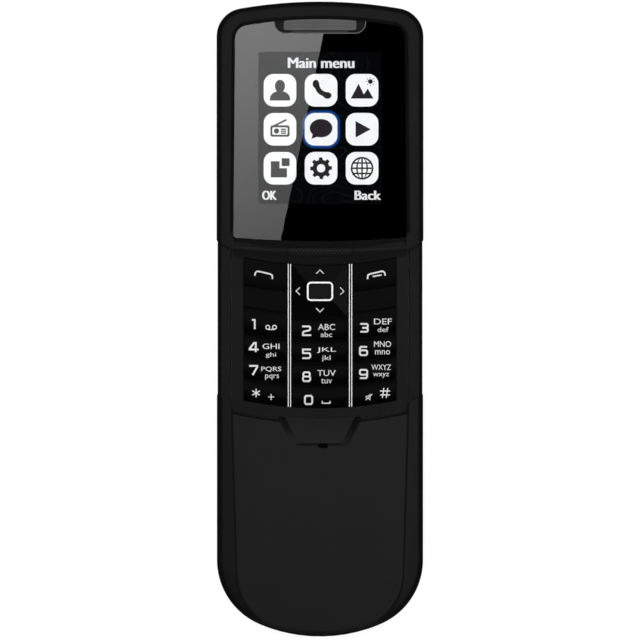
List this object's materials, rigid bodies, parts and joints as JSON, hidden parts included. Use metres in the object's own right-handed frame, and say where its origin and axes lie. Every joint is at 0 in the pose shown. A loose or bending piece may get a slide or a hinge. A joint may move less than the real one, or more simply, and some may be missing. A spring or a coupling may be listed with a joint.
{
  "type": "slider mobile phone",
  "caption": "Slim slider phone, opened: display head and keypad on one unit that slides out of a sleeve with a rounded lower cover.",
  "frame": {"origin": "middle of the opened phone's outline, on the plane that its back lies on", "axes": "+X to the right and +Y to the earpiece end as seen from the front, +Z out of the front"},
  "size_m": [0.0474, 0.1456, 0.0164],
  "materials": {
    "housing": "satin",
    "cover": "satin",
    "keys": "satin",
    "window": "polished",
    "mask": "matte",
    "display": "gloss",
    "bright_trim": "satin",
    "sill": "gloss",
    "steel": "brushed",
    "board": "gloss",
    "flex": "satin",
    "battery": "satin",
    "contacts": "satin",
    "inner_plastic": "matte",
    "membrane": "matte"
  },
  "bodies": {
    "lower_unit": {"back_shell": "housing", "front_cover": "cover", "slide_base_plate": "steel", "base_plate_screws": "steel", "guide_rail_left": "steel", "guide_rail_right": "steel", "slide_spring_left": "steel", "slide_spring_right": "steel", "slide_flex": "flex", "battery": "battery", "contact_board": "board", "battery_contacts": "contacts", "usb_socket": "steel", "sim_holder": "steel", "antenna": "inner_plastic", "loudspeaker": "inner_plastic"},
    "upper_unit": {"front_housing": "housing", "rear_housing": "housing", "housing_screws": "steel", "slide_carriage": "steel", "display_window": "window", "window_mask": "mask", "lcd_module": "display", "display_bracket": "steel", "earpiece_grille": "bright_trim", "earpiece_receiver": "inner_plastic", "sill_left": "sill", "sill_right": "sill", "thumb_grip": "sill", "trim_strips": "bright_trim", "keypad_membrane": "membrane", "dome_switches": "steel", "main_board": "board", "rf_shield": "steel", "microphone": "inner_plastic", "vibration_motor": "steel", "camera_module": "inner_plastic", "camera_window": "window"},
    "battery_lid": {"battery_cover": "housing"},
    "nav_rocker_plate": {"nav_rocker": "inner_plastic"},
    "nav": {"nav_key": "keys", "ok_ring": "bright_trim"},
    "call_key_cap": {"call_key": "keys"},
    "end_key_cap": {"end_key": "keys"},
    "left_soft_key_cap": {"left_soft_key": "keys"},
    "right_soft_key_cap": {"right_soft_key": "keys"},
    "ok_key_cap": {"ok_key": "keys"},
    "key_1_cap": {"key_1": "keys"},
    "key_2_cap": {"key_2": "keys"},
    "key_3_cap": {"key_3": "keys"},
    "key_4_cap": {"key_4": "keys"},
    "key_5_cap": {"key_5": "keys"},
    "key_6_cap": {"key_6": "keys"},
    "key_7_cap": {"key_7": "keys"},
    "key_8_cap": {"key_8": "keys"},
    "key_9_cap": {"key_9": "keys"},
    "key_star_cap": {"key_star": "keys"},
    "key_0_cap": {"key_0": "keys"},
    "key_hash_cap": {"key_hash": "keys"}
  },
  "joints": [
    {"name": "slide", "type": "slide", "parent": "lower_unit", "child": "upper_unit", "axis": [0, -1, 0], "range_m": [0, 0.0349], "deforming": ["slide_spring_left", "slide_spring_right", "slide_flex"]},
    {"name": "battery_lid_off", "type": "slide", "parent": "lower_unit", "child": "battery_lid", "axis": [0, 0, -1], "range_m": [0, 0.012]},
    {"name": "call_key_press", "type": "slide", "parent": "upper_unit", "child": "call_key_cap", "axis": [0, 0, -1], "range_m": [0, 0.00035], "stiffness_N_per_m": 3000},
    {"name": "end_key_press", "type": "slide", "parent": "upper_unit", "child": "end_key_cap", "axis": [0, 0, -1], "range_m": [0, 0.00035], "stiffness_N_per_m": 3000},
    {"name": "left_soft_key_press", "type": "slide", "parent": "upper_unit", "child": "left_soft_key_cap", "axis": [0, 0, -1], "range_m": [0, 0.00035], "stiffness_N_per_m": 3000},
    {"name": "right_soft_key_press", "type": "slide", "parent": "upper_unit", "child": "right_soft_key_cap", "axis": [0, 0, -1], "range_m": [0, 0.00035], "stiffness_N_per_m": 3000},
    {"name": "ok_key_press", "type": "slide", "parent": "upper_unit", "child": "ok_key_cap", "axis": [0, 0, -1], "range_m": [0, 0.00035], "stiffness_N_per_m": 3000},
    {"name": "key_1_press", "type": "slide", "parent": "upper_unit", "child": "key_1_cap", "axis": [0, 0, -1], "range_m": [0, 0.00035], "stiffness_N_per_m": 3000},
    {"name": "key_2_press", "type": "slide", "parent": "upper_unit", "child": "key_2_cap", "axis": [0, 0, -1], "range_m": [0, 0.00035], "stiffness_N_per_m": 3000},
    {"name": "key_3_press", "type": "slide", "parent": "upper_unit", "child": "key_3_cap", "axis": [0, 0, -1], "range_m": [0, 0.00035], "stiffness_N_per_m": 3000},
    {"name": "key_4_press", "type": "slide", "parent": "upper_unit", "child": "key_4_cap", "axis": [0, 0, -1], "range_m": [0, 0.00035], "stiffness_N_per_m": 3000},
    {"name": "key_5_press", "type": "slide", "parent": "upper_unit", "child": "key_5_cap", "axis": [0, 0, -1], "range_m": [0, 0.00035], "stiffness_N_per_m": 3000},
    {"name": "key_6_press", "type": "slide", "parent": "upper_unit", "child": "key_6_cap", "axis": [0, 0, -1], "range_m": [0, 0.00035], "stiffness_N_per_m": 3000},
    {"name": "key_7_press", "type": "slide", "parent": "upper_unit", "child": "key_7_cap", "axis": [0, 0, -1], "range_m": [0, 0.00035], "stiffness_N_per_m": 3000},
    {"name": "key_8_press", "type": "slide", "parent": "upper_unit", "child": "key_8_cap", "axis": [0, 0, -1], "range_m": [0, 0.00035], "stiffness_N_per_m": 3000},
    {"name": "key_9_press", "type": "slide", "parent": "upper_unit", "child": "key_9_cap", "axis": [0, 0, -1], "range_m": [0, 0.00035], "stiffness_N_per_m": 3000},
    {"name": "key_star_press", "type": "slide", "parent": "upper_unit", "child": "key_star_cap", "axis": [0, 0, -1], "range_m": [0, 0.00035], "stiffness_N_per_m": 3000},
    {"name": "key_0_press", "type": "slide", "parent": "upper_unit", "child": "key_0_cap", "axis": [0, 0, -1], "range_m": [0, 0.00035], "stiffness_N_per_m": 3000},
    {"name": "key_hash_press", "type": "slide", "parent": "upper_unit", "child": "key_hash_cap", "axis": [0, 0, -1], "range_m": [0, 0.00035], "stiffness_N_per_m": 3000},
    {"name": "nav_up_down", "type": "hinge", "parent": "upper_unit", "child": "nav_rocker_plate", "pos_m": [0, 0.0064, 0.01158], "axis": [1, 0, 0], "range_deg": [-1.5, 1.5], "stiffness_Nm_per_rad": 0.15},
    {"name": "nav_left_right", "type": "hinge", "parent": "nav_rocker_plate", "child": "nav", "pos_m": [0, 0.0064, 0.01158], "axis": [0, 1, 0], "range_deg": [-1.5, 1.5], "stiffness_Nm_per_rad": 0.15}
  ]
}
